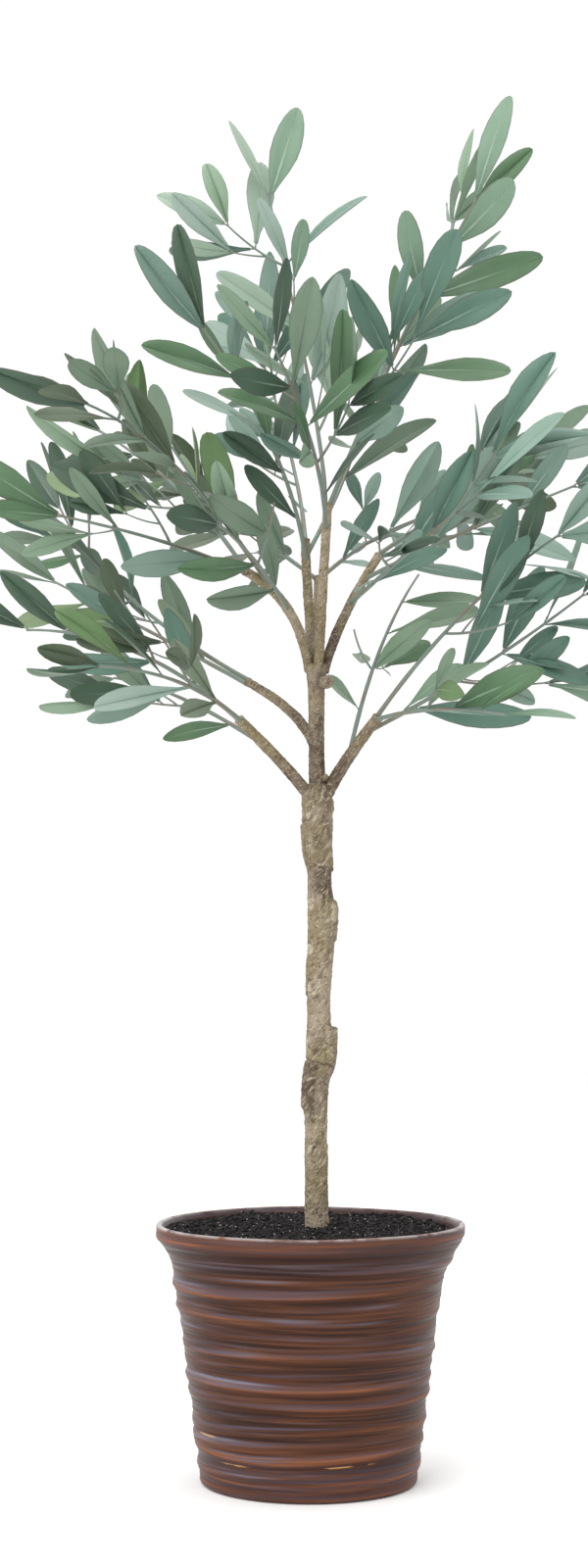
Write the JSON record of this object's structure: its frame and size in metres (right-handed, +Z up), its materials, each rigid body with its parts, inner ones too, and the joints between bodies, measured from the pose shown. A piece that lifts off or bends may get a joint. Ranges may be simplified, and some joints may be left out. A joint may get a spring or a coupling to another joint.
{
  "type": "artificial olive tree in a pot",
  "caption": "Potted artificial olive tree: a bare wrapped trunk forks into short boughs that carry wired sprays of long leaves, in a round ribbed pot.",
  "frame": {"origin": "centre of the pot's flat underside", "axes": "+Z up along the pot's axis to the crown, +X to the viewer's right, -Y towards the viewer of the picture"},
  "size_m": [0.6334, 0.6253, 1.1789],
  "materials": {
    "pot": "thrown stoneware with horizontal ribs, rust brown with a grey-violet sheen, satin",
    "soil": "near-black grit over a set fill",
    "bark": "tan wrapped bark sheet with speckle and lapped seams, matt",
    "foliage": "matt grey-green cloth leaves on soft plastic stems"
  },
  "bodies": {
    "root": {"pot": "pot", "soil": "soil", "trunk": "bark", "leader": "bark", "bough_lower_left": "bark", "bough_lower_right": "bark", "bough_mid_left": "bark", "bough_back": "bark", "bough_upper_left": "bark", "bough_upper_cut": "bark", "bough_upper_centre": "bark", "bough_upper_right": "bark", "foliage_top": "foliage", "foliage_high_right": "foliage", "foliage_front_high": "foliage", "foliage_back_high": "foliage", "foliage_high_left": "foliage", "foliage_back_right_high": "foliage", "foliage_front_left": "foliage", "foliage_left_high": "foliage", "foliage_left_inner": "foliage", "foliage_left_out": "foliage", "foliage_right_out": "foliage", "foliage_right_high": "foliage", "foliage_front_right": "foliage", "foliage_right_back": "foliage", "foliage_mid_left_out": "foliage", "foliage_mid_left_rise": "foliage", "foliage_low_left_out": "foliage", "foliage_low_left_front": "foliage", "foliage_low_left_back": "foliage", "foliage_low_right_rise": "foliage", "foliage_low_right_out": "foliage", "foliage_low_right_front": "foliage", "foliage_right_inner": "foliage", "foliage_back_left": "foliage", "foliage_back_right": "foliage"}
  },
  "joints": []
}
